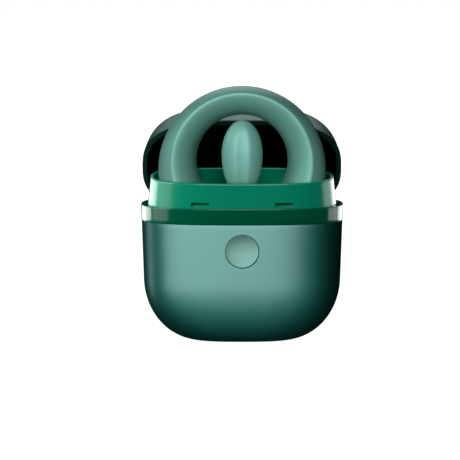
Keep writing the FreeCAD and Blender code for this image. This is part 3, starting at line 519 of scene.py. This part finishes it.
def dome(inset, bottom, steps=34, crown=(0.97, 0.8, 0.45, 0.12)):
    """Loops of the lid from a height up to its crown."""
    top = LID_RIM + LID_HEIGHT - inset
    tall = LID_ROUND_HEIGHT - inset
    heights = [swell_to(bottom, top - tall, i / 6) for i in range(6)]
    heights += [top - tall * (1 - math.cos(math.pi / 2 * i / steps) ** (2 / LID_POWER))
                for i in range(steps, -1, -1)]
    loops = [outline(lid_half(z, inset), z) for z in heights]
    loops += [outline([half * share for half in lid_half(top, inset)], top) for share in crown]
    return loops


def cup(name, outer_inset, wall, bottom, edge):
    """A thin cup of the lid's shape, with a rounded mouth."""
    outer = dome(outer_inset, bottom + edge)
    inner = dome(outer_inset + wall, bottom + edge)
    mouth = []
    for depth, drop in corner(edge):
        z = bottom + drop
        mouth.append(outline(lid_half(z, outer_inset), z, depth))
    back = []
    for depth, drop in reversed(corner(edge)):
        z = bottom + drop
        back.append(outline(lid_half(z, outer_inset + wall), z, -depth))
    loops = list(reversed(outer)) + mouth[1:] + back[:-1] + inner
    return piece(name, loft(open_loops(loops)))


def make_lid():
    """The satin lid, its black lining and its dark rim."""
    shell_start = LID_RIM + RIM_HEIGHT
    settle(cup("lid_dome", 0, LID_WALL, shell_start, 0.15), "lid_paint", "lid", "lid_shell")
    lining = cup("lid_lining", LID_WALL + 0.05, LINER_WALL, shell_start + 0.02, 0.1)
    settle(lining, "liner_gloss", "lid", "lid_liner")
    section = [(depth, LID_RIM + drop) for depth, drop in reversed(corner(0.35))]
    section += [(0, shell_start - 0.12), (0.12, shell_start), (RIM_WALL - 0.12, shell_start),
                (RIM_WALL, shell_start - 0.12)]
    section += [(RIM_WALL - depth, LID_RIM + drop) for depth, drop in corner(0.45)]
    loops = [outline(CASE_HALF, z, depth) for depth, z in section]
    rim = piece("lid_edge", loft(open_loops(loops), wrap=True))
    settle(rim, "rim_gloss", "lid", "lid_rim")


# ---- ring device ----

def bezier(points, share):
    """The point part of the way along the curve with these control points."""
    while len(points) > 1:
        points = [a.lerp(b, share) for a, b in zip(points, points[1:])]
    return points[0]


def ring_section(angle):
    """One closed slice of the ring: funnel, crest, flank, rounded back and throat."""
    hub = (Vector((0, 0, HOLE_UP)), Vector((0, 0, RING_UP)))
    way = Vector((math.cos(angle), 0, math.sin(angle)))

    def at(radius, along, outer):
        return hub[0].lerp(hub[1], outer) + way * radius + Vector((0, along, 0))

    points = []
    bow = CREST_RADIUS - HOLE_RADIUS
    depth = RING_FRONT + HOLE_BACK
    funnel_steps = 22
    for i in range(funnel_steps):
        t = math.radians(84) * i / (funnel_steps - 1)
        points.append(at(CREST_RADIUS - bow * math.cos(t), HOLE_BACK - depth * math.sin(t), 0))
    outside_crest = at(CREST_RADIUS + 0.35, -RING_FRONT + 0.55, 0.08)
    widest = at(RING_RADIUS, -1.5, 1)
    back_outer = at(RING_RADIUS - 4.5, RING_BACK, 1)
    back_inner = at(HOLE_RADIUS + 3.7, RING_BACK, 0)
    crest = [points[-1], at(CREST_RADIUS - 0.15, -RING_FRONT, 0), outside_crest]
    flank = [outside_crest, at(RING_RADIUS - 0.9, -5.2, 0.85), widest]
    rear = [widest, at(RING_RADIUS, 4.5, 1), at(RING_RADIUS - 1.5, RING_BACK, 1), back_outer]
    throat = [back_inner, at(HOLE_RADIUS + 1.5, RING_BACK, 0), at(HOLE_RADIUS, RING_BACK - 1.6, 0),
              at(HOLE_RADIUS, HOLE_BACK, 0)]
    for controls, steps in ((crest, 6), (flank, 14), (rear, 16), ([back_outer, back_inner], 4), (throat, 10)):
        points += [bezier(controls, (i + 1) / steps) for i in range(steps)]
    return points[:-1]


def soft_max(a, b, blend):
    """The larger of two values, rounded off where they are close."""
    return 0.5 * (a + b + math.sqrt((a - b) ** 2 + blend ** 2))


def tongue_loops():
    """The upright petal: full in the middle, with a shallow channel between soft ridges at the front."""
    neck, neck_blend = 3.3, 1.2
    upright_from, upright_over = 50, 12
    foot_back = 2.0
    channel_share, channel_depth, channel_fade = 0.36, 0.42, 9
    low = 46.0
    rows = 64
    around = 96
    tip = TONGUE_UP + TONGUE_UPPER
    loops = []
    for row in range(rows):
        share = math.sin(math.pi / 2 * (row + 0.15) / rows)
        z = low + (tip - low) * share
        tall = TONGUE_UPPER if z > TONGUE_UP else TONGUE_LOWER
        full = math.sqrt(max(1 - ((z - TONGUE_UP) / tall) ** 2, 0))
        half = [TONGUE_HALF[0] * full, TONGUE_HALF[1] * full]
        upright = min(max((z - upright_from) / upright_over, 0), 1)
        upright = upright * upright * (3 - 2 * upright)
        half = [soft_max(h, neck * (1 - upright), neck_blend * (1 - upright)) for h in half]
        back = foot_back * (1 - upright)
        channel = channel_share * half[0]
        fade = min(max((tip - z) / channel_fade, 0), 1) * upright
        loop = []
        for i in range(around):
            a = math.tau * i / around
            x = half[0] * math.cos(a)
            y = half[1] * math.sin(a)
            inside = max(1 - (x / channel) ** 2, 0) if channel else 0
            if y < 0:
                y += channel_depth * inside ** 1.5 * fade
            loop.append(Vector((x, y - TONGUE_FORWARD + back, z)))
        loops.append(loop)
    return loops


def make_ring():
    """The soft ring with its tongue, and round holes under it for the charging contacts."""
    slices = [ring_section(math.tau * (i + 0.5) / AROUND) for i in range(AROUND)]
    ring = piece("soft_ring", loft(slices, wrap=True))
    carve(ring, [piece("tongue", loft(tongue_loops()))], "UNION")
    post_radius = 1.5
    post_low, post_high = 32, 37
    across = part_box("ring_contacts")[1].x / MM - post_radius
    posts = [rod("post_room", post_radius + 0.05, Vector((side * across, 0, post_low)),
                 Vector((side * across, 0, post_high)), 48) for side in (-1, 1)]
    carve(ring, posts)
    settle(ring, "ring_silicone", "ring", "ring_sleeve", sharp=40)


# ---- studio ----

def aim(thing, target):
    thing.rotation_euler = (target - thing.location).to_track_quat("-Z", "Y").to_euler()


def light_group(*slots):
    """A collection of the pieces with these finishes, for the lights that are set up for them."""
    group = bpy.data.collections.new("lit_" + slots[0])
    wanted = {FINISHES[name].name for name in slots}
    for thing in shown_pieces():
        if any(used and used.name in wanted for used in thing.data.materials):
            group.objects.link(thing)
    return group


def softbox(name, azimuth, elevation, distance, width, height, radiance, group=None):
    """A soft light round the case: azimuth 0 is in front and 90 is to the viewer's left."""
    data = bpy.data.lights.new(name, "AREA")
    data.shape = "RECTANGLE"
    data.size, data.size_y = width, height
    data.energy = radiance * math.pi * width * height
    light = bpy.data.objects.new(name, data)
    target = Vector((0, 0, 0.05))
    a, e = math.radians(azimuth), math.radians(elevation)
    way = Vector((-math.sin(a) * math.cos(e), -math.cos(a) * math.cos(e), math.sin(e)))
    light.location = target + distance * way
    aim(light, target)
    light.visible_camera = False
    if group:
        light.light_linking.receiver_collection = group
    SCENE.collection.objects.link(light)
    return light


def make_studio():
    """Lights for each group of finishes, a pale floor and the camera in front, tilted down a little."""
    satin = light_group("body_paint", "button_paint")
    gloss = light_group("band_gloss", "collar_gloss")
    apart = ("body_paint", "button_paint", "band_gloss", "collar_gloss", "liner_gloss")
    soft = light_group(*[name for name in FINISHES if name not in apart])
    # name, azimuth, elevation, distance, width, height, radiance, pieces that it lights
    softbox("satin_front", 14, 7, 0.9, 1.3, 0.94, 1.3, satin)
    softbox("satin_left", 95, 0, 0.7, 0.3, 0.6, 0.5, satin)
    softbox("gloss_front", 62, 28, 0.8, 0.5, 0.4, 10, gloss)
    softbox("gloss_high", 0, 38, 0.6, 0.3, 0.2, 9, gloss)
    softbox("left_strip", 114, 0, 0.25, 0.28, 0.12, 9, gloss)
    softbox("left_strip_near", 62, 0, 0.25, 0.15, 0.12, 1.8, gloss)
    softbox("right_strip", -128, 0, 0.25, 0.2, 0.12, 7, gloss)
    softbox("right_strip_near", -86, 0, 0.25, 0.15, 0.12, 3, gloss)
    softbox("soft_front", 8, 12, 0.9, 0.6, 0.45, 8, soft)
    softbox("soft_left", 68, 26, 0.7, 0.35, 0.35, 3, soft)
    softbox("soft_top", 30, 64, 0.7, 0.35, 0.35, 0.8, soft)
    softbox("back_fill", 180, 30, 1.3, 0.8, 0.5, 2.5)

    world = bpy.data.worlds.new("pale_surround")
    world.use_nodes = True
    world.node_tree.nodes["Background"].inputs["Color"].default_value = (1, 1, 1, 1)
    world.cycles_visibility.diffuse = False
    world.cycles_visibility.glossy = False
    SCENE.world = world

    bpy.ops.mesh.primitive_plane_add(size=8)
    floor = bpy.context.object
    floor.name = "floor"
    pale = bpy.data.materials.new("pale_floor")
    pale.use_nodes = True
    shader = pale.node_tree.nodes["Principled BSDF"]
    shader.inputs["Base Color"].default_value = (0.9, 0.9, 0.9, 1)
    shader.inputs["Emission Color"].default_value = (1, 1, 1, 1)
    shader.inputs["Emission Strength"].default_value = 1.0
    floor.data.materials.append(pale)
    floor.visible_diffuse = False
    floor.visible_glossy = False
    floor.visible_shadow = False

    eye = bpy.data.cameras.new("camera")
    eye.lens = 250
    eye.sensor_width = 36
    camera = bpy.data.objects.new("camera", eye)
    distance = 1.214
    elevation = math.radians(8.4)
    target = Vector((-0.00458, 0, 0.04153))
    camera.location = target + distance * Vector((0, -math.cos(elevation), math.sin(elevation)))
    aim(camera, target)
    SCENE.collection.objects.link(camera)
    SCENE.camera = camera
    SCENE.view_settings.view_transform = "Standard"


# CAD pieces that stay as they are, by finish
KEPT = {
    "cradle_plastic": ["cradle_tray"],
    "cell_wrap": ["case_battery", "ring_battery"],
    "grey_plastic": ["battery_bracket", "ring_core"],
    "board_green": ["main_board", "contact_board", "button_board", "ring_board"],
    "port_steel": ["port_shell"],
    "black_plastic": ["port_tongue"],
    "gold_brass": ["pin_sleeves", "charge_pin_left", "charge_pin_right", "ring_contacts"],
    "screw_steel": ["bracket_screws", "board_screws", "contact_screws", "hinge_pin", "leaf_screws",
                    "motor_shaft"],
    "switch_steel": ["button_switch", "motor_can"],
    "spring_steel": ["hinge_spring"],
    "leaf_paint": ["hinge_leaf"],
    "weight_brass": ["eccentric_weight"],
}

for slot_name, names in KEPT.items():
    for node_name in names:
        for material_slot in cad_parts[node_name].material_slots:
            material_slot.material = FINISHES[slot_name]

make_body_shell()
make_trim_band()
make_collar()
make_button()
make_lid()
make_ring()
make_studio()
